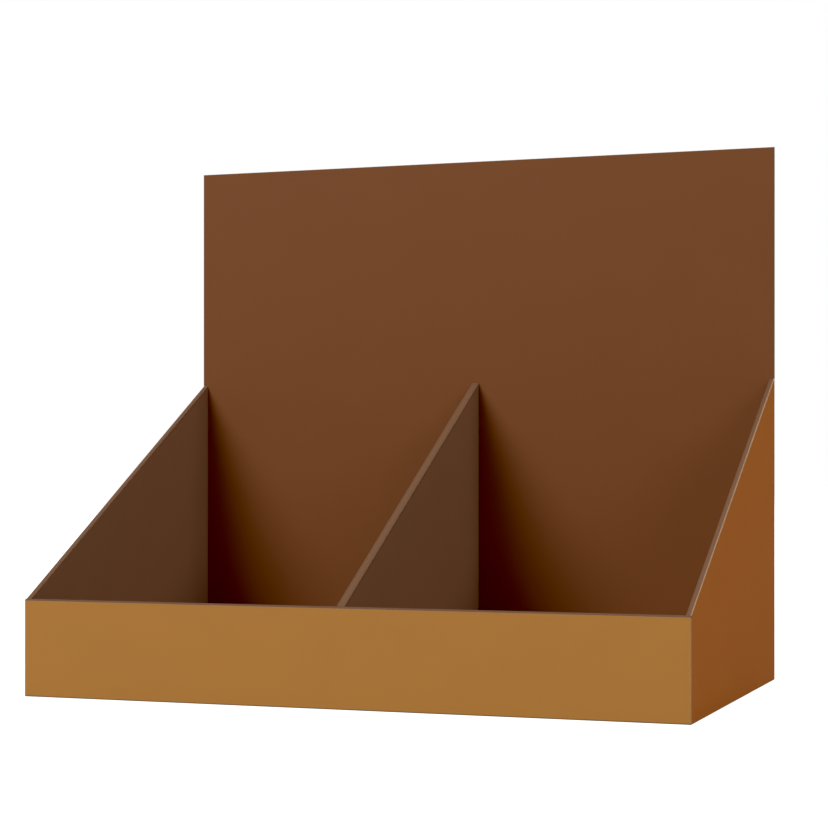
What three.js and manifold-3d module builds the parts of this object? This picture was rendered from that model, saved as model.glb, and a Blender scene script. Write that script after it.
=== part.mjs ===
// A counter-top dispenser box of creased board: a low front, slanted side walls, a tall header panel behind,
// and a divider that parts it into two bays.
// The tray is folded from one sheet. Its middle strip makes the front, the base and the back panel with its
// header. The side walls are hinged on the back panel, folded over at their slanted top into two leaves, and
// turned in at the floor. An ear at the front end of each side wall lies against the inside of the front.
// The divider is a second sheet, folded over in the same way, that stands on two feet.
// Units are millimetres. +X points right, +Y back and +Z up. The origin is under the middle of the box.
import * as THREE from 'three';
import { mergeVertices } from 'three/addons/utils/BufferGeometryUtils.js';
import Module from 'manifold-3d';

const wasm = await Module();
wasm.setup();

// Outside of the box.
const width = 360;
const depth = 222;
const headerHeight = 305;

// The rim is the slanted plane that the front, the side walls and the divider all rise to.
const rimFrontHeight = 51.3;
const rimBackHeight = 173;

// The sheet, its creases, and the air between leaves that lie on each other.
const board = 1.4;
const creaseRadius = 0.7;
const leafGap = 0.2;

// Ears, from the outside of the side wall to their tips.
const earLength = 45;
const earTaper = 6;
const earBelowRim = 5;

// The strip of each side wall's inner leaf that is glued down on the base.
const flangeWidth = 26;
const flangeMitre = 14;

// Divider.
const dividerPlace = 0;
const dividerThickness = 4.5;
const footWidth = 20;
const footMitre = 10;
const dividerClearance = 0.3;

// How far a creased piece laps over the leaves that it joins, and how finely an arc is drawn.
const lap = 3;
const arcSteps = 3;

const rightFace = width / 2;
const frontFace = -depth / 2;
const backFace = depth / 2;
const frontInside = frontFace + board;
const backInside = backFace - board;
const baseTop = board;
const sideThickness = 2 * board + leafGap;
const far = width + depth + headerHeight;

const rimSlope = Math.atan2(rimBackHeight - rimFrontHeight, depth);
const rimHeight = (y) => rimFrontHeight + (y - frontFace) * Math.tan(rimSlope);

const X = new THREE.Vector3(1, 0, 0);
const Y = new THREE.Vector3(0, 1, 0);
const Z = new THREE.Vector3(0, 0, 1);
const rimNormal = new THREE.Vector3(0, -Math.sin(rimSlope), Math.cos(rimSlope));

// Shapes and solids

// A closed outline through corners given as [x, y] or, where the corner is an arc, [x, y, radius].
function outline(corners) {
  const shape = new THREE.Shape();
  const points = corners.map(([x, y]) => new THREE.Vector2(x, y));
  corners.forEach(([, , radius = 0], i) => {
    const corner = points[i];
    const into = corner.clone().sub(points.at(i - 1)).normalize();
    const away = points[(i + 1) % points.length].clone().sub(corner).normalize();
    const turn = Math.atan2(into.cross(away), into.dot(away));
    const start = corner.clone().addScaledVector(into, -radius * Math.tan(Math.abs(turn) / 2));
    if (i === 0) shape.moveTo(start.x, start.y);
    else shape.lineTo(start.x, start.y);
    if (radius > 0) {
      const toCentre = new THREE.Vector2(-into.y, into.x).multiplyScalar(Math.sign(turn));
      const centre = start.clone().addScaledVector(toCentre, radius);
      const from = toCentre.negate().angle();
      shape.absarc(centre.x, centre.y, radius, from, from + turn, turn < 0);
    }
  });
  shape.closePath();
  return shape;
}

function solidOf(geometry) {
  geometry.deleteAttribute('normal');
  geometry.deleteAttribute('uv');
  const merged = mergeVertices(geometry, 1e-4);
  return new wasm.Manifold(new wasm.Mesh({
    numProp: 3,
    vertProperties: merged.attributes.position.array,
    triVerts: new Uint32Array(merged.index.array),
  }));
}

function meshOf(name, solid, material) {
  const { vertProperties, triVerts } = solid.getMesh();
  const geometry = new THREE.BufferGeometry();
  geometry.setAttribute('position', new THREE.BufferAttribute(vertProperties, 3));
  geometry.setIndex(new THREE.BufferAttribute(triVerts, 1));
  geometry.computeVertexNormals();
  const mesh = new THREE.Mesh(geometry, material);
  mesh.name = name;
  return mesh;
}

// A shape drawn on the axes right and up, carried from an origin along the axis square to both.
function carried(shape, right, up, origin, length) {
  const along = new THREE.Vector3().crossVectors(right, up);
  const place = new THREE.Matrix4().makeBasis(right, up, along).setPosition(origin);
  const geometry = new THREE.ExtrudeGeometry(shape, {
    depth: length,
    bevelEnabled: false,
    curveSegments: arcSteps,
  });
  return solidOf(geometry.applyMatrix4(place));
}

// A shape seen from the right (y, z), from above (x, y) or from the front (x, z), between two limits.
function acrossX(shape, x0, x1) {
  return carried(shape, Y, Z, new THREE.Vector3(Math.min(x0, x1), 0, 0), Math.abs(x1 - x0));
}

function acrossZ(shape, z0, z1) {
  return carried(shape, X, Y, new THREE.Vector3(0, 0, z0), z1 - z0);
}

function acrossY(shape, y0, y1) {
  return carried(shape, X, Z, new THREE.Vector3(0, y1, 0), y1 - y0);
}

// A shape (x, height over the rim's plane) carried down the rim and cut off square at y0 and y1.
function alongRim(shape, y0, y1) {
  const overrun = 2 * lap;
  const start = y1 + overrun;
  const length = (start - y0 + overrun) / Math.cos(rimSlope);
  const run = carried(shape, X, rimNormal, new THREE.Vector3(0, start, rimHeight(start)), length);
  return run.intersect(block({ x: [-far, far], y: [y0, y1], z: [-far, far] }));
}

// A block between two limits on each axis.
function block({ x: [x0, x1], y: [y0, y1], z: [z0, z1] }) {
  return acrossZ(outline([[x0, y0], [x1, y0], [x1, y1], [x0, y1]]), z0, z1);
}

function joined(solids) {
  return solids.reduce((whole, next) => whole.add(next));
}

// Parts of a folded sheet

// The folded top of a wall of two leaves, from its outer face at x0 to its other face at x1.
function crest(x0, x1, y0, y1) {
  const inward = Math.sign(x1 - x0) * board;
  const section = outline([
    [x0, -lap],
    [x0, 0, creaseRadius],
    [x1, 0, creaseRadius],
    [x1, -lap],
    [x1 - inward, -lap],
    [x1 - inward, -board],
    [x0 + inward, -board],
    [x0 + inward, -lap],
  ]);
  return alongRim(section, y0, y1);
}

// An upright leaf between x0 and x1 that ends just under the rounding of its crest.
function uprightLeaf(x0, x1, y0, y1, foot) {
  const drop = creaseRadius / Math.cos(rimSlope);
  const side = outline([
    [y0, foot],
    [y1, foot],
    [y1, rimHeight(y1) - drop],
    [y0, rimHeight(y0) - drop],
  ]);
  return acrossX(side, x0, x1);
}

// A leaf that is turned at its foot: heel is the face away from the foot, and toward is +1 or -1 along X.
function turnedLeaf({ heel, toward, y0, y1, sole, reach, mitre }) {
  const at = (distance) => heel + toward * distance;
  const upright = uprightLeaf(heel, at(board), y0, y1, sole + creaseRadius);
  const bend = outline([
    [heel, sole, creaseRadius],
    [at(lap), sole],
    [at(lap), sole + board],
    [at(board), sole + board],
    [at(board), sole + lap],
    [heel, sole + lap],
  ]);
  const foot = outline([
    [at(creaseRadius), y0],
    [at(reach), y0 + mitre],
    [at(reach), y1 - mitre],
    [at(creaseRadius), y1],
  ]);
  return joined([upright, acrossY(bend, y0, y1), acrossZ(foot, sole, sole + board)]);
}

// Tray

// Front, base and back panel with its header: one strip, creased along the two lower edges.
function middleStrip() {
  const section = outline([
    [frontFace, rimFrontHeight],
    [frontFace, 0, creaseRadius],
    [backFace, 0, creaseRadius],
    [backFace, headerHeight],
    [backInside, headerHeight],
    [backInside, baseTop],
    [frontInside, baseTop],
    [frontInside, rimHeight(frontInside)],
  ]);
  return acrossX(section, -rightFace, rightFace);
}

// What the strip gives up on each side: room for the side wall beside the base, and the square of its corner.
function sideRelief(side) {
  const beside = block({
    x: [side * (rightFace - board - leafGap), side * far],
    y: [frontInside, backInside],
    z: [-far, baseTop + leafGap],
  });
  const corner = block({
    x: [side * (rightFace - creaseRadius), side * far],
    y: [backFace - creaseRadius, far],
    z: [-far, rimBackHeight],
  });
  return beside.add(corner);
}

// Side is +1 for the right wall and -1 for the left one.
function sideWall(side) {
  const outside = side * rightFace;
  const outerInside = side * (rightFace - board);
  const baySide = side * (rightFace - sideThickness);
  const innerHeel = baySide + side * board;
  const earFace = frontInside + leafGap;
  const crestEnd = backInside - leafGap;
  const innerFront = earFace + board + leafGap;
  const sole = baseTop + leafGap;

  // The outer leaf turns into the back panel at one end and into the ear at the other.
  const plan = outline([
    [outerInside, earFace],
    [outside, earFace, creaseRadius],
    [outside, backFace, creaseRadius],
    [outerInside, backFace],
  ]);
  const aboveRim = outline([
    [frontFace, rimHeight(frontFace)],
    [backFace, rimHeight(backFace)],
    [backFace, far],
    [frontFace, far],
  ]);
  const drop = creaseRadius / Math.cos(rimSlope);
  const crestRoom = outline([
    [earFace, rimHeight(earFace) - drop],
    [crestEnd, rimHeight(crestEnd) - drop],
    [crestEnd, far],
    [earFace, far],
  ]);
  const outerLeaf = acrossZ(plan, 0, rimBackHeight + lap)
    .subtract(acrossX(aboveRim, -far, far))
    .subtract(acrossX(crestRoom, -far, far));

  const earTop = rimFrontHeight - earBelowRim;
  const ear = outline([
    [side * (rightFace - creaseRadius), sole],
    [side * (rightFace - earLength), sole + earTaper],
    [side * (rightFace - earLength), earTop - earTaper],
    [side * (rightFace - creaseRadius), earTop],
  ]);

  return joined([
    outerLeaf,
    acrossY(ear, earFace, earFace + board),
    crest(outside, baySide, earFace, crestEnd),
    turnedLeaf({
      heel: innerHeel,
      toward: -side,
      y0: innerFront,
      y1: crestEnd,
      sole,
      reach: flangeWidth,
      mitre: flangeMitre,
    }),
  ]);
}

function displayTray() {
  const strip = middleStrip().subtract(sideRelief(1)).subtract(sideRelief(-1));
  return joined([strip, sideWall(1), sideWall(-1)]);
}

// Divider

function divider() {
  const y0 = frontInside + dividerClearance;
  const y1 = backInside - dividerClearance;
  const half = dividerThickness / 2;
  const leaf = (side) => turnedLeaf({
    heel: dividerPlace + side * (half - board),
    toward: side,
    y0,
    y1,
    sole: baseTop + dividerClearance,
    reach: footWidth,
    mitre: footMitre,
  });
  return joined([crest(dividerPlace + half, dividerPlace - half, y0, y1), leaf(1), leaf(-1)]);
}

// The box

const printedBoard = new THREE.MeshStandardMaterial({ color: 0xa67339, roughness: 0.75, metalness: 0 });
const innerBoard = new THREE.MeshStandardMaterial({ color: 0x704427, roughness: 0.8, metalness: 0 });

const box = new THREE.Group();
box.name = 'dispenser_box';
box.add(meshOf('display_tray', displayTray(), printedBoard));
box.add(meshOf('bay_divider', divider(), innerBoard));

export default box;
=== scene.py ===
import math

import bmesh
import bpy
import numpy as np
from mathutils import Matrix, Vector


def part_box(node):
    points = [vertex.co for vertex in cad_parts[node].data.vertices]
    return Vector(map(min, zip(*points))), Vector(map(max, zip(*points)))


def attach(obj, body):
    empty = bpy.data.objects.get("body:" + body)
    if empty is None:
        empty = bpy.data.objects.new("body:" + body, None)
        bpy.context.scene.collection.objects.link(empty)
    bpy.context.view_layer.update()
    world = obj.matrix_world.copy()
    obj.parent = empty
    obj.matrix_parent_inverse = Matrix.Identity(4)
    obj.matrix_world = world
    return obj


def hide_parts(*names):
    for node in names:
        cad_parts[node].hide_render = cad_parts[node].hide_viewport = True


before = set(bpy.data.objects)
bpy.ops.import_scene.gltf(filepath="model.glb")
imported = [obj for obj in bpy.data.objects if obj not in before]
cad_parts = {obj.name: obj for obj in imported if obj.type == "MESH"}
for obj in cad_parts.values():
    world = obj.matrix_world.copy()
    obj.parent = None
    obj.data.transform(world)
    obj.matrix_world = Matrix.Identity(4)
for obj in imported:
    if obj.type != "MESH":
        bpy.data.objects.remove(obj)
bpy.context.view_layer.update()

# Sizes of the box in metres, from the frame where it holds them.
TRAY_LOW, TRAY_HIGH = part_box("display_tray")
DIVIDER_LOW, DIVIDER_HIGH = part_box("bay_divider")
RIGHT, FRONT, BACK, TOP = TRAY_HIGH.x, TRAY_LOW.y, TRAY_HIGH.y, TRAY_HIGH.z
RIM_FRONT = 0.0513
RIM_BACK = 0.173
BOARD = 0.0014
LEAF_GAP = 0.0002
DIVIDER_THICKNESS = 0.0045
EAR_LENGTH = 0.045
EAR_TAPER = 0.006
EAR_BELOW_RIM = 0.005
FLANGE_WIDTH = 0.026
FLANGE_MITRE = 0.014
FOOT_MITRE = 0.010

# Radii: outside a fold, inside it, at a raw edge as the cutter leaves it, and at an edge butted on a board.
FOLD = 0.0007
FOLD_INSIDE = 0.0003
CUT = 0.0002
BUTT = 0.00002

# Rows along the arc of a fold, and angles of the rows round a raw edge. One row more is in its middle.
FOLD_STEPS = 9
EDGE_ANGLES = np.radians([90, 60, 30, 0])
EDGE_ROWS = len(EDGE_ANGLES) + 1

# Distances of the rows near a fold or an edge from it, and the distance of rows from each other elsewhere.
NEAR = np.array([0.00005, 0.0004, 0.001, 0.003, 0.008])
ROW = 0.012

# The share of a short stretch that its near rows may take.
SHORT = 0.8

# Points this close are made one, and a number that changes by less than STILL stays the same.
SAME_POINT = 0.0000001
STILL = 0.000000001

# The slanted rim, the inner faces, and the height up to which the side walls' rear folds close the back.
RIM_TAN = (RIM_BACK - RIM_FRONT) / (BACK - FRONT)
RIM_COS = math.cos(math.atan(RIM_TAN))
FRONT_INSIDE = FRONT + BOARD
BACK_INSIDE = BACK - BOARD
SHOULDER = RIM_BACK - FOLD / RIM_COS

# Finishes of a board, in the order of its material slots.
OUTSIDE, TURNED_IN, INSIDE, RAW_EDGE, OUTSIDE_OF_WALL = range(5)

# A distance from folds and edges that is beyond all rubbing.
FAR = 1.0


# Board surfaces


def rim_height(y):
    """Height of the slanted rim: RIM_FRONT at the front face, rising evenly to RIM_BACK at the back face."""
    return RIM_FRONT + (y - FRONT) * RIM_TAN


def edge_rounding(radius):
    """Rows round a raw edge: their distances in from the edge, and their depths under the face.

    The first row is on the edge, halfway through the board. The others are a quarter circle of the radius:
    distance = r (1 - sin a) and depth = r (1 - cos a), with a from 90 to 0 degrees. A column of radii gives
    a row of results for each.
    """
    inset = radius * np.append(0, 1 - np.sin(EDGE_ANGLES))
    depth = radius * np.append(0, 1 - np.cos(EDGE_ANGLES))
    return inset, depth + np.append(BOARD / 2, 0 * EDGE_ANGLES)


def bent_line(corners):
    """The ends and arcs of a line that turns square at each corner, as one block of rows for each corner.

    A corner is (a, b, radius, g): a is the distance across and b the height. With g = 1 the height is
    counted from the rim's plane and square to it. A row is (a, c, g), for a point at height
    c + g * rim height. Each arc is a quarter circle: corner - r d1 (1 - sin t) + r d2 (1 - cos t), with d1
    and d2 the directions in and out, and t from 0 to 90 degrees.
    """
    flat = np.array([[a, b + g * RIM_BACK] for a, b, _, g in corners])
    way = np.diff(flat, axis=0)
    way /= np.linalg.norm(way, axis=1)[:, None]
    t = np.radians(np.linspace(0, 90, FOLD_STEPS))[:, None]
    blocks = []
    for k, (a, b, radius, g) in enumerate(corners):
        points = np.array([[a, b]])
        if 0 < k < len(corners) - 1:
            points = points - radius * way[k - 1] * (1 - np.sin(t)) + radius * way[k] * (1 - np.cos(t))
        height = points[:, 1] / RIM_COS if g else points[:, 1]
        blocks.append(np.column_stack([points[:, 0], height, np.full(len(points), float(g))]))
    return blocks


def near_rows(radius=None):
    """Rows near one end of a straight stretch: distances from it and depths. A raw edge has a radius."""
    inset, depth = (NEAR[:1], np.zeros(1)) if radius is None else edge_rounding(radius)
    return np.append(inset, NEAR[1:]), np.append(depth, np.zeros(len(NEAR) - 1))


def drawn_together(length):
    """How much the near rows of a stretch draw together: 1 on a long stretch, less where it is short."""
    return min(1.0, SHORT * length / (2 * NEAR[-1]))


def middle_rows(length):
    """How many rows stand between the near rows at the two ends of a stretch, about ROW apart."""
    return max(2, round((length - 2 * NEAR[-1] * drawn_together(length)) / ROW)) - 1


def run_of(face_corners, lining_corners, start_cut, end_cut):
    """The two sides of a bent board as paired rows (a, c, g), and the depth of each row under its side.

    Each straight stretch goes from the end of one arc to the start of the next. The lining has as many rows
    there as the face, so row k of one side lies across the board from row k of the other.
    """
    run, middles = {}, []
    last = len(face_corners) - 2
    for side, corners in (("face", face_corners), ("lining", lining_corners)):
        blocks = bent_line(corners)
        lines, depths = [], []
        for k in range(last + 1):
            here, following = blocks[k][-1], blocks[k + 1]
            way = following[0] - here
            length = np.linalg.norm(way[:2] + way[2] * np.array([0, RIM_BACK]))
            if side == "face":
                middles.append(middle_rows(length))
            first, depth_first = near_rows(start_cut if k == 0 else None)
            final, depth_final = near_rows(end_cut if k == last else None)
            first, final = first * drawn_together(length), final * drawn_together(length)
            middle = np.linspace(first[-1], length - final[-1], middles[k] + 2)[1:-1]
            at = np.concatenate([first, middle, length - final[::-1]])
            lines += [here + way * (at / length)[:, None], following]
            depths += [depth_first, np.zeros(middles[k]), depth_final[::-1], np.zeros(len(following))]
        run[side] = np.concatenate(lines[:-1])
        run["depth_" + side] = np.concatenate(depths[:-1])
    return run


def columns(low, high, low_cut, high_cut):
    """Places across a board from low to high, and the depth there. All four may differ from row to row."""
    low_cut, high_cut = (np.broadcast_to(cut, low.shape)[:, None] for cut in (low_cut, high_cut))
    inset_low, depth_low = edge_rounding(low_cut)
    inset_high, depth_high = edge_rounding(high_cut)
    first = np.hstack([inset_low, low_cut + NEAR[1:]])
    last = np.hstack([inset_high, high_cut + NEAR[1:]])
    share = np.linspace(0, 1, max(2, round(float(np.max(high - low)) / ROW)) + 1)[1:-1]
    start, end = low[:, None] + first[:, -1:], high[:, None] - last[:, -1:]
    place = np.hstack([low[:, None] + first, start + (end - start) * share, high[:, None] - last[:, ::-1]])
    depth = np.zeros(place.shape)
    depth[:, :EDGE_ROWS] = depth_low
    depth[:, -EDGE_ROWS:] = depth_high[:, ::-1]
    return place, depth


def distance_run(grid):
    """Distance along each column of a grid of points, from its first row."""
    step = np.linalg.norm(np.diff(grid, axis=0), axis=2)
    return np.concatenate([np.zeros((1, grid.shape[1])), np.cumsum(step, axis=0)])


def distance_from(distance, lines, place, low, high):
    """Distance of each point from the nearest of some rows, at folds or edges, or of its own row's ends."""
    near = [np.abs(distance - distance[k]) for k in lines]
    near += [place - low[:, None], high[:, None] - place]
    return np.min(near, axis=0)


def fold_rows(run):
    """The middle row of every arc of a bent line. Only along an arc do a and c both change."""
    a, c = run["face"][:, 0], run["face"][:, 1]
    on_arc = (np.abs(np.diff(a)) > STILL) & (np.abs(np.diff(c)) > STILL)
    starts = np.flatnonzero(on_arc & ~np.append(False, on_arc[:-1]))
    return [int(k) + FOLD_STEPS // 2 for k in starts]


def board(name, sides, depths, cut, outside, sheet, fold_or_edge_distance, print_outside=OUTSIDE):
    """A closed board between two grids of points, its face and its lining, as one mesh.

    A point of the face is face + (lining - face) * depth / thickness, and the lining likewise the other way.
    The two meet along the border, where both take the face's points. Faces that touch a cut point are raw
    edge. Of the rest, the face's own have print_outside where outside is true and TURNED_IN elsewhere, and
    the lining's have INSIDE. sheet holds each point's place on the flat sheet, and the grid after it each
    point's distance from the nearest fold or edge, which places the scuffing, painted highlight and painted
    shade there.
    Where two rounded edges meet, the points that fall together are made one.
    """
    face, lining = sides
    through = lining - face
    share_face, share_lining = (depth / BOARD for depth in depths)
    points = np.concatenate([
        (face + through * share_face[..., None]).reshape(-1, 3),
        (lining - through * share_lining[..., None]).reshape(-1, 3),
    ])
    m, n = face.shape[:2]
    top = np.arange(m * n).reshape(m, n)
    border = np.ones((m, n), bool)
    border[1:-1, 1:-1] = False
    bottom = np.where(border, top, top + m * n)

    def corners(grid):
        return grid[:-1, :-1], grid[1:, :-1], grid[1:, 1:], grid[:-1, 1:]

    def quads(index):
        return np.stack(corners(index), axis=-1).reshape(-1, 4)

    def touches(grid):
        return np.any(corners(grid), axis=0).ravel()

    faces = np.concatenate([quads(top), quads(bottom)[:, ::-1]])
    of_face = np.where(touches(~outside), TURNED_IN, print_outside)
    of_lining = np.full(len(of_face), INSIDE)
    raw = np.concatenate([touches(side) for side in cut])
    finish = np.where(raw, RAW_EDGE, np.concatenate([of_face, of_lining]))

    used, faces = np.unique(faces, return_inverse=True)
    faces = faces.reshape(-1, 4)
    points = points[used]
    a, b, c = (points[faces[:, i]] - points.mean(axis=0) for i in range(3))
    if np.sum(a * np.cross(b, c)) < 0:
        faces = faces[:, ::-1]

    mesh = bpy.data.meshes.new(name)
    mesh.from_pydata(points.tolist(), [], faces.tolist())
    mesh.polygons.foreach_set("material_index", finish.astype(np.int32))
    mesh.polygons.foreach_set("use_smooth", np.ones(len(faces), bool))
    on_sheet = np.concatenate([sheet.reshape(-1, 2)] * 2)[used]
    loops = np.zeros(len(mesh.loops), np.int32)
    mesh.loops.foreach_get("vertex_index", loops)
    mesh.uv_layers.new(name="sheet").data.foreach_set("uv", on_sheet[loops].astype(np.float32).ravel())
    from_fold = np.concatenate([fold_or_edge_distance.ravel()] * 2)[used]
    mesh.attributes.new("fold_or_edge_distance", "FLOAT", "POINT").data.foreach_set("value", from_fold.astype(np.float32))
    shell = bmesh.new()
    shell.from_mesh(mesh)
    bmesh.ops.remove_doubles(shell, verts=shell.verts, dist=SAME_POINT)
    shell.to_mesh(mesh)
    shell.free()
    piece = bpy.data.objects.new(name, mesh)
    bpy.context.scene.collection.objects.link(piece)
    return piece


def carried_board(name, run, place, depth, low, high, across_x=False, outside=True, folded=False,
                  print_outside=OUTSIDE):
    """A bent line carried across: each row of the line at each place, at the height c + g * rim height.

    A point is (place, a, c) with across_x, and (a, place, c + g * rim height(place)) without it. outside
    says which rows are the sheet's outer side, and folded which rows end in a fold at high. There the face
    alone rounds, and goes on through the whole thickness of the board.
    """
    def grid(side):
        a, c, g = (run[side][:, k, None] + 0 * place for k in range(3))
        if across_x:
            return np.stack([place, a, c], axis=-1)
        return np.stack([a, place, c + g * rim_height(place)], axis=-1)

    outside, folded = (np.broadcast_to(rows, low.shape) for rows in (outside, folded))
    cut = depth > 0
    cut[folded, -EDGE_ROWS:] = False
    depth_face, depth_lining = depth.copy(), depth.copy()
    place[folded, -2] -= BUTT
    depth_face[folded, -2:] = BOARD - BUTT, BOARD
    depth_lining[folded, -EDGE_ROWS:] = 0
    ends = run["depth_face"][:, None], run["depth_lining"][:, None]
    sides = grid("face"), grid("lining")
    distance = distance_run(sides[0])
    lines = [0, len(distance) - 1] + fold_rows(run)
    fold_or_edge_distance = distance_from(distance, lines, place, low, np.where(folded, FAR, high))
    return board(
        name,
        sides,
        (np.maximum(ends[0], depth_face), np.maximum(ends[1], depth_lining)),
        ((ends[0] > 0) | cut, (ends[1] > 0) | cut),
        outside[:, None] & np.ones(place.shape, bool),
        np.stack([place, distance], axis=-1),
        fold_or_edge_distance,
        print_outside,
    )


# Pieces


def tray_strip():
    """Front, base, back panel and header: a bent line in the plane x = 0, carried across the tray.

    A point is (x, a(s), c(s)), with x from -half(s) to half(s). half is the tray's half width at the front
    and the header, one board less beside the side walls' rear folds, and clears the walls at the base.
    """
    face = [
        (FRONT, RIM_FRONT, 0, 0),
        (FRONT, 0, FOLD, 0),
        (BACK, 0, FOLD, 0),
        (BACK, SHOULDER, BUTT, 0),
        (BACK, TOP, 0, 0),
    ]
    lining = [
        (FRONT_INSIDE, rim_height(FRONT_INSIDE), 0, 0),
        (FRONT_INSIDE, BOARD, FOLD_INSIDE, 0),
        (BACK_INSIDE, BOARD, FOLD_INSIDE, 0),
        (BACK_INSIDE, SHOULDER, BUTT, 0),
        (BACK_INSIDE, TOP, 0, 0),
    ]
    run = run_of(face, lining, CUT, CUT)
    y, z = run["face"][:, 0], run["face"][:, 1]
    base = (z < BOARD) & (y > FRONT_INSIDE) & (y < BACK_INSIDE)
    between_walls = (y >= BACK_INSIDE) & (z < SHOULDER)
    half = np.where(base, RIGHT - BOARD - LEAF_GAP, np.where(between_walls, RIGHT - BOARD, RIGHT))
    cut = np.where(between_walls, BUTT, CUT)
    place, depth = columns(-half, half, cut, cut)
    return carried_board("tray_strip", run, place, depth, -half, half, across_x=True)


def side_wall(name, side):
    """A side wall: a bent line in the plane of x and z, carried from the front to the back.

    The line goes up the outer leaf, over the crest, down the inner leaf and in along the flange. A point is
    (side * a(s), y, c(s) + g(s) * rim height(y)). The flange's ends are mitred, and the outer leaf ends in
    its fold to the back panel. side is 1 for the right wall and -1 for the left one.
    """
    outer, inner = RIGHT, RIGHT - 2 * BOARD - LEAF_GAP
    sole = BOARD + LEAF_GAP
    tip = inner + BOARD - FLANGE_WIDTH
    face = [
        (outer, 0, 0, 0),
        (outer, 0, FOLD, 1),
        (inner, 0, FOLD, 1),
        (inner, sole + BOARD, FOLD_INSIDE, 0),
        (tip, sole + BOARD, 0, 0),
    ]
    lining = [
        (outer - BOARD, 0, 0, 0),
        (outer - BOARD, -BOARD, BUTT, 1),
        (inner + BOARD, -BOARD, BUTT, 1),
        (inner + BOARD, sole, FOLD, 0),
        (tip, sole, 0, 0),
    ]
    run = run_of(face, lining, CUT, CUT)
    a, c, g = run["face"].T
    outer_leaf = np.isclose(a, outer)
    crest = ~outer_leaf & (g == 1)
    reach = np.clip((inner - a) / FLANGE_WIDTH, 0, 1)
    behind_ear = FRONT_INSIDE + BOARD + 2 * LEAF_GAP
    low = np.where(outer_leaf | crest, FRONT_INSIDE + BUTT, behind_ear + reach * FLANGE_MITRE)
    high = np.where(outer_leaf, BACK, BACK_INSIDE - BUTT - reach * FLANGE_MITRE)
    place, depth = columns(low, high, BUTT, np.where(outer_leaf, FOLD, BUTT))
    for key in ("face", "lining"):
        run[key] = run[key] * np.array([side, 1, 1])
    printed = (a > outer - FOLD) | outer_leaf
    return carried_board(name, run, place, depth, low, high, outside=printed, folded=outer_leaf,
                         print_outside=OUTSIDE_OF_WALL)


def ear(name, side):
    """The ear at the front end of a side wall: a flat board behind the front, between two tapering edges.

    A point is (side * a(s), y, z), with z from the lower edge to the upper. Both draw in evenly to the tip.
    """
    near, tip = RIGHT - BOARD, RIGHT - EAR_LENGTH
    y = FRONT_INSIDE + LEAF_GAP
    sole, head = BOARD + LEAF_GAP, RIM_FRONT - EAR_BELOW_RIM
    run = run_of([(near, 0, 0, 0), (tip, 0, 0, 0)], [(near, BOARD, 0, 0), (tip, BOARD, 0, 0)], BUTT, CUT)
    taper = EAR_TAPER * (near - run["face"][:, 0]) / (near - tip)
    low, high = sole + taper, head - taper
    place, depth = columns(low, high, CUT, CUT)

    def grid(key):
        x, deep = (run[key][:, k, None] + 0 * place for k in range(2))
        return np.stack([side * x, y + deep, place], axis=-1)

    sides = grid("face"), grid("lining")
    depths = [np.maximum(run["depth_" + key][:, None], depth) for key in ("face", "lining")]
    cut = [deep > 0 for deep in depths]
    outside = np.ones(place.shape, bool)
    distance = distance_run(sides[0])
    fold_or_edge_distance = distance_from(distance, [len(distance) - 1], place, low, high)
    return board(name, sides, depths, cut, outside, np.stack([distance, place], axis=-1), fold_or_edge_distance)


def divider():
    """The divider: a bent line from one foot's tip up, over the slanted crest and down to the other tip.

    A point is (a(s), y, c(s) + g(s) * rim height(y)), and the feet are mitred at both ends.
    """
    half = DIVIDER_THICKNESS / 2
    heel = half - BOARD
    tip, sole = DIVIDER_HIGH.x, DIVIDER_LOW.z
    face = [
        (tip, sole + BOARD, 0, 0),
        (half, sole + BOARD, FOLD_INSIDE, 0),
        (half, 0, FOLD, 1),
        (-half, 0, FOLD, 1),
        (-half, sole + BOARD, FOLD_INSIDE, 0),
        (-tip, sole + BOARD, 0, 0),
    ]
    lining = [
        (tip, sole, 0, 0),
        (heel, sole, FOLD, 0),
        (heel, -BOARD, BUTT, 1),
        (-heel, -BOARD, BUTT, 1),
        (-heel, sole, FOLD, 0),
        (-tip, sole, 0, 0),
    ]
    run = run_of(face, lining, CUT, CUT)
    reach = np.clip((np.abs(run["face"][:, 0]) - half) / (tip - half), 0, 1)
    low, high = DIVIDER_LOW.y + reach * FOOT_MITRE, DIVIDER_HIGH.y - reach * FOOT_MITRE
    place, depth = columns(low, high, CUT, CUT)
    return carried_board("divider_board", run, place, depth, low, high, outside=False)


# Node maths


class Field:
    """A socket that takes part in sums: each operation on it adds its Math node."""

    def __init__(self, recipe, socket):
        self.recipe, self.socket = recipe, socket

    def math(self, operation, *values):
        return self.recipe.node("ShaderNodeMath", {"operation": operation}, dict(enumerate(values)))

    def __add__(self, other):
        return self.math("ADD", self, other)

    def __sub__(self, other):
        return self.math("SUBTRACT", self, other)

    def __rsub__(self, other):
        return self.math("SUBTRACT", other, self)

    def __mul__(self, other):
        return self.math("MULTIPLY", self, other)

    __radd__, __rmul__ = __add__, __mul__


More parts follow.
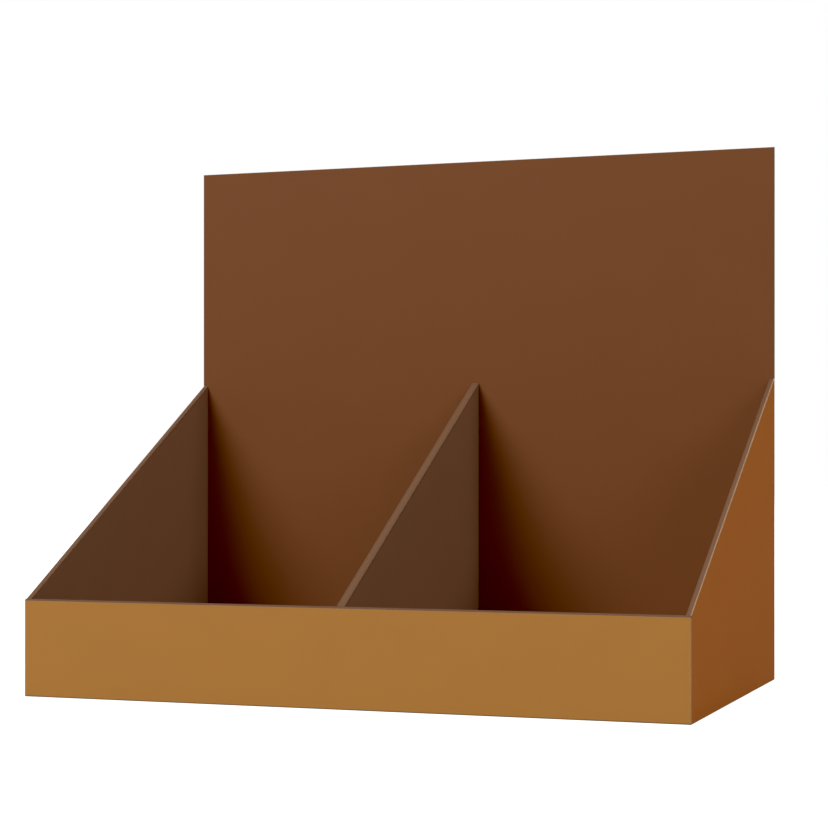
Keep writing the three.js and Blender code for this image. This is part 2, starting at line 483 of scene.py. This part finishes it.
class Recipe:
    """The nodes of a material or of a world."""

    def __init__(self, owner):
        owner.use_nodes = True
        self.owner, self.tree = owner, owner.node_tree
        self.tree.nodes.clear()

    def node(self, kind, settings=None, inputs=None, output=0):
        """Adds a node, sets it, fills its sockets with values or links, and gives back one output."""
        made = self.tree.nodes.new(kind)
        for key, value in (settings or {}).items():
            setattr(made, key, value)
        for key, value in (inputs or {}).items():
            if isinstance(value, Field):
                self.tree.links.new(value.socket, made.inputs[key])
            else:
                made.inputs[key].default_value = value
        return Field(self, made.outputs[output]) if made.outputs else None

    def noise(self, place, scale, detail=2.0):
        """Cloudy noise between 0 and 1 over a place in metres, with scale clouds in a metre."""
        return self.node("ShaderNodeTexNoise", None, {"Vector": place, "Scale": scale, "Detail": detail})

    def between(self, value, low, high, to_low=0.0, to_high=1.0):
        """Value carried from the range low to high into the range to_low to to_high, and kept inside it."""
        limits = {"Value": value, "From Min": low, "From Max": high, "To Min": to_low, "To Max": to_high}
        return self.node("ShaderNodeMapRange", {"clamp": True}, limits)

    def mix(self, share, first, second):
        """A colour between two colours: the first at share 0 and the second at share 1."""
        return self.node("ShaderNodeMix", {"data_type": "RGBA"}, {0: share, 6: first, 7: second}, output=2)

    def bump(self, height, strength, distance):
        """A normal that leans as a surface would whose height varies so, up to that distance."""
        values = {"Strength": strength, "Distance": distance, "Height": height}
        return self.node("ShaderNodeBump", None, values)

    def seen_by_camera(self):
        """1 for what the camera sees itself and 0 for the light that a thing gives to others."""
        return self.node("ShaderNodeLightPath")

    def finish(self, **inputs):
        """The material, with a principled shader that has these inputs."""
        shader = self.node("ShaderNodeBsdfPrincipled", None, inputs)
        self.node("ShaderNodeOutputMaterial", None, {"Surface": shader})
        return self.owner


# Colours


def linear(red, green, blue):
    """A colour written in screen values of 0 to 255, as the linear colour that a socket takes."""
    values = np.array([red, green, blue]) / 255
    values = np.where(values <= 0.04045, values / 12.92, ((values + 0.055) / 1.055) ** 2.4)
    return (*values.tolist(), 1.0)


def toned(colour, factor):
    """A colour made lighter or darker by a factor."""
    return (*(min(1.0, value * factor) for value in colour[:3]), 1.0)


def grey(value):
    """A grey of a linear value."""
    return (value, value, value, 1.0)


FRONT_TAN = linear(169, 119, 62)
# Next, the side walls' tan: a darker, deeper copy of the front's, darkened as painted shade on their outer
# faces.
SIDE_TAN_SHADED = linear(155, 93, 37)
# Next, the tan along folds and edges: partly scuffed print, partly a painted highlight on the folds.
TAN_WORN_AND_HIGHLIGHT = linear(142, 123, 100)
LINING_BROWN = linear(110, 82, 62)
INNER_BROWN = linear(115, 73, 43)
BROWN_WORN = linear(135, 103, 79)
PULP = linear(101, 76, 58)
# Next, paler pulp up the front's two corners: a painted highlight on those edges.
PULP_CORNER_HIGHLIGHT = linear(160, 119, 75)


# Finishes of the board

# Gloss, and the darkest and lightest tone of a colour over its surface.
SHEEN = 0.15
BOARD_ROUGHNESS = (0.55, 0.65)
PULP_ROUGHNESS = 0.75
BOARD_TONES = (0.965, 1.035)
PULP_TONES = (0.9, 1.08)

# Clouds of noise in a metre, and the part of its values that is used. The fibres are four times as long as
# they are wide.
FIBRES = 2600.0
FIBRE_STRETCH = (0.25, 1.0, 1.0)
CLOUDS = 22.0
GRAIN = 900.0
PULP_GRAIN = 1800.0
FINE_DETAIL = 3.0
MIDDLE_VALUES = (0.3, 0.7)
WIDE_VALUES = (0.25, 0.75)

# How strong the relief is and how high, in metres, and what makes it up on printed board.
BOARD_RELIEF = (0.25, 0.00012)
PULP_RELIEF = (0.4, 0.0001)
FIBRE_RELIEF = 0.35
GRAIN_RELIEF = 0.35
FLUTE_RELIEF = 0.1

# Distances from a fold or edge in which the print is scuffed lighter and then darkened, and how ragged the
# lighter band ends. That band is partly scuffing and partly a painted highlight; the darkening is painted
# shade.
SCUFF_AND_HIGHLIGHT_FULL = 0.0002
SCUFF_AND_HIGHLIGHT_END = 0.0005
RAGGED = 0.0002
FOLD_SHADE_WIDTH = 0.0016
FOLD_SHADE_FADE = 1.3

# Flutes show through the liner. A wave node at scale 1 has 20 / (2 pi) bands in a metre.
FLUTE_PITCH = 0.0033
FLUTE_SCALE = 2 * math.pi / 20 / FLUTE_PITCH


def board_finish(name, colour, worn_and_highlight, rub_and_highlight, fold_shade=1.0):
    """Printed board: print over pulp fibres that lie across the flutes, scuffed lighter along folds and
    edges.

    The lighter colour there is partly scuffing and partly a painted highlight on the folds, and its share is
    how much of the print is gone. The tone beside a fold, below 1, is painted shade that darkens the board
    there.
    """
    recipe = Recipe(bpy.data.materials.new(name))
    sheet = recipe.node("ShaderNodeUVMap", {"uv_map": "sheet"})
    fold_or_edge_distance = recipe.node("ShaderNodeAttribute", {"attribute_name": "fold_or_edge_distance"}, output=2)
    along_fibres = recipe.node("ShaderNodeMapping", None, {"Vector": sheet, "Scale": FIBRE_STRETCH})
    fibres = recipe.noise(along_fibres, FIBRES, FINE_DETAIL)
    clouds = recipe.noise(sheet, CLOUDS)
    grain = recipe.noise(sheet, GRAIN)
    flutes = recipe.node("ShaderNodeTexWave", {"wave_type": "BANDS", "bands_direction": "X"},
                         {"Vector": sheet, "Scale": FLUTE_SCALE, "Distortion": 0.0})
    # Painted highlight and scuffing: near folds and edges the print turns to the lighter colour.
    rubbed_and_highlit = recipe.between(fold_or_edge_distance + (grain - 0.5) * RAGGED, SCUFF_AND_HIGHLIGHT_FULL, SCUFF_AND_HIGHLIGHT_END, rub_and_highlight, 0.0)
    # Painted shade: beside a fold the board takes the darker tone.
    beside_fold = recipe.between(fold_or_edge_distance, FOLD_SHADE_WIDTH, FOLD_SHADE_WIDTH * FOLD_SHADE_FADE, 1.0, 0.0)
    shade = recipe.between(fibres * 0.5 + clouds * 0.5, *WIDE_VALUES)
    body = recipe.mix(shade, *(toned(colour, tone) for tone in BOARD_TONES))
    body = recipe.mix(beside_fold, body, toned(colour, fold_shade))
    relief = fibres * FIBRE_RELIEF + grain * GRAIN_RELIEF + flutes * FLUTE_RELIEF
    return recipe.finish(**{
        "Base Color": recipe.mix(rubbed_and_highlit, body, worn_and_highlight),
        "Roughness": recipe.between(fibres, *MIDDLE_VALUES, *BOARD_ROUGHNESS),
        "Specular IOR Level": SHEEN,
        "Normal": recipe.bump(relief, *BOARD_RELIEF),
    })


def pulp_finish(name, colour, corner_highlight):
    """Raw cut edge: bare pulp with fine layers, and a painted highlight up the front's two corners, in paler
    pulp.
    """
    recipe = Recipe(bpy.data.materials.new(name))
    place = recipe.node("ShaderNodeTexCoord", None, output=3)
    y, z = (recipe.node("ShaderNodeSeparateXYZ", None, {"Vector": place}, output=k) for k in (1, 2))
    grain = recipe.noise(place, PULP_GRAIN, FINE_DETAIL)
    # Painted highlight: the pulp up the front's two corners takes the paler colour.
    in_front = recipe.between(y, FRONT_INSIDE, FRONT_INSIDE + CUT, 1.0, 0.0)
    below_top = recipe.between(z, RIM_FRONT - 3 * CUT, RIM_FRONT - 2 * CUT, 1.0, 0.0)
    shade = recipe.between(grain, *MIDDLE_VALUES)
    pulp = recipe.mix(shade, *(toned(colour, tone) for tone in PULP_TONES))
    return recipe.finish(**{
        "Base Color": recipe.mix(in_front * below_top, pulp, corner_highlight),
        "Roughness": PULP_ROUGHNESS,
        "Specular IOR Level": SHEEN,
        "Normal": recipe.bump(grain, *PULP_RELIEF),
    })


# The tan's lighter band along folds and edges is partly scuffing and partly a painted highlight.
finishes = {
    OUTSIDE: board_finish("tan_print", FRONT_TAN, TAN_WORN_AND_HIGHLIGHT, rub_and_highlight=0.6),
    # The lining's darker tone beside its folds is painted shade on its crests and in its folds.
    TURNED_IN: board_finish("brown_lining", LINING_BROWN, BROWN_WORN, rub_and_highlight=0.06, fold_shade=0.88),
    INSIDE: board_finish("brown_inside", INNER_BROWN, BROWN_WORN, rub_and_highlight=0.15),
    RAW_EDGE: pulp_finish("raw_edge", PULP, PULP_CORNER_HIGHLIGHT),
    # The side walls' outer faces take the darker tan, which is painted shade on them.
    OUTSIDE_OF_WALL: board_finish("deep_tan_print_painted_shade", SIDE_TAN_SHADED, TAN_WORN_AND_HIGHLIGHT, rub_and_highlight=0.9),
}


# Putting the box together

tray_pieces = [
    tray_strip(),
    side_wall("side_wall_right", 1),
    side_wall("side_wall_left", -1),
    ear("ear_right", 1),
    ear("ear_left", -1),
]
divider_piece = divider()
for piece in [*tray_pieces, divider_piece]:
    for slot in sorted(finishes):
        piece.data.materials.append(finishes[slot])
    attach(piece, "root")
for piece in tray_pieces:
    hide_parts("display_tray")
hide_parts("bay_divider")


# Studio

FLOOR_REACH = 10.0
FLOOR_GREY = 0.2
FLOOR_GLOW = 0.97

# The room's own light is dim and faintly blue. The lamps face a point AIM_HEIGHT over the origin.
ROOM_LIGHT = (0.138, 0.142, 0.150, 1.0)
WHITE = (1.0, 1.0, 1.0)
WARM_WHITE = (1.0, 0.95, 0.9)
LIGHT_DISTANCE = 5.0
AIM_HEIGHT = 0.12


def floor_paint():
    """Pale paint that looks white to the camera, gives off no light, and still takes the soft shadow."""
    recipe = Recipe(bpy.data.materials.new("floor_paint"))
    return recipe.finish(**{
        "Base Color": grey(FLOOR_GREY),
        "Roughness": 0.9,
        "Specular IOR Level": 0.0,
        "Emission Color": recipe.mix(recipe.seen_by_camera(), grey(0.0), grey(FLOOR_GLOW)),
        "Emission Strength": 1.0,
    })


def studio_floor():
    """A flat square floor round the origin, FLOOR_REACH out to every side."""
    reach = FLOOR_REACH
    corners = [(-reach, -reach, 0), (reach, -reach, 0), (reach, reach, 0), (-reach, reach, 0)]
    mesh = bpy.data.meshes.new("floor")
    mesh.from_pydata(corners, [], [(0, 1, 2, 3)])
    mesh.materials.append(floor_paint())
    floor = bpy.data.objects.new("floor", mesh)
    bpy.context.scene.collection.objects.link(floor)


def soft_light(name, azimuth, elevation, size, power, colour=WHITE):
    """A square soft light that faces the box: azimuth is counted from the front towards the right."""
    a, e = math.radians(azimuth), math.radians(elevation)
    across, up = LIGHT_DISTANCE * math.cos(e), LIGHT_DISTANCE * math.sin(e)
    data = bpy.data.lights.new(name, "AREA")
    data.size = size
    data.energy = power
    data.color = colour
    lamp = bpy.data.objects.new(name, data)
    lamp.location = (across * math.sin(a), -across * math.cos(a), AIM_HEIGHT + up)
    lamp.rotation_euler = (math.pi / 2 - e, 0, a)
    bpy.context.scene.collection.objects.link(lamp)


def white_room(light):
    """A room that is white to look at and gives off a dim light of its own."""
    recipe = Recipe(bpy.data.worlds.new("white_room"))
    colour = recipe.mix(recipe.seen_by_camera(), light, grey(1.0))
    background = recipe.node("ShaderNodeBackground", None, {"Color": colour, "Strength": 1.0})
    recipe.node("ShaderNodeOutputWorld", None, {"Surface": background})
    bpy.context.scene.world = recipe.owner


studio_floor()
white_room(ROOM_LIGHT)
soft_light("key", azimuth=-28, elevation=30, size=2.4, power=200)
soft_light("front", azimuth=-2, elevation=50, size=3.0, power=58)
soft_light("side", azimuth=83, elevation=39, size=2.0, power=193, colour=WARM_WHITE)
soft_light("back", azimuth=180, elevation=35, size=0.8, power=230)
soft_light("left", azimuth=-100, elevation=15, size=2.0, power=60)

# Shadows below these linear values turn black, which deepens the bays as in the photo.
BLACK_LEVEL = (0.02, 0.018, 0.015)
view = bpy.context.scene.view_settings
view.view_transform = "Standard"
view.use_curve_mapping = True
view.curve_mapping.black_level = BLACK_LEVEL
view.curve_mapping.update()

# The camera stands to the front right and is level. Its picture is shifted up.
CAMERA_PLACE = (0.3985, -1.1063, 0.1270)
CAMERA_TURN = math.radians(19.8)
LENS = 92.5
SENSOR_WIDTH = 36
SHIFT_UP = 0.0529
camera_data = bpy.data.cameras.new("camera")
camera_data.lens = LENS
camera_data.sensor_width = SENSOR_WIDTH
camera_data.shift_y = SHIFT_UP
camera = bpy.data.objects.new("camera", camera_data)
camera.location = CAMERA_PLACE
camera.rotation_euler = (math.pi / 2, 0, CAMERA_TURN)
bpy.context.scene.collection.objects.link(camera)
bpy.context.scene.camera = camera

bpy.context.view_layer.update()
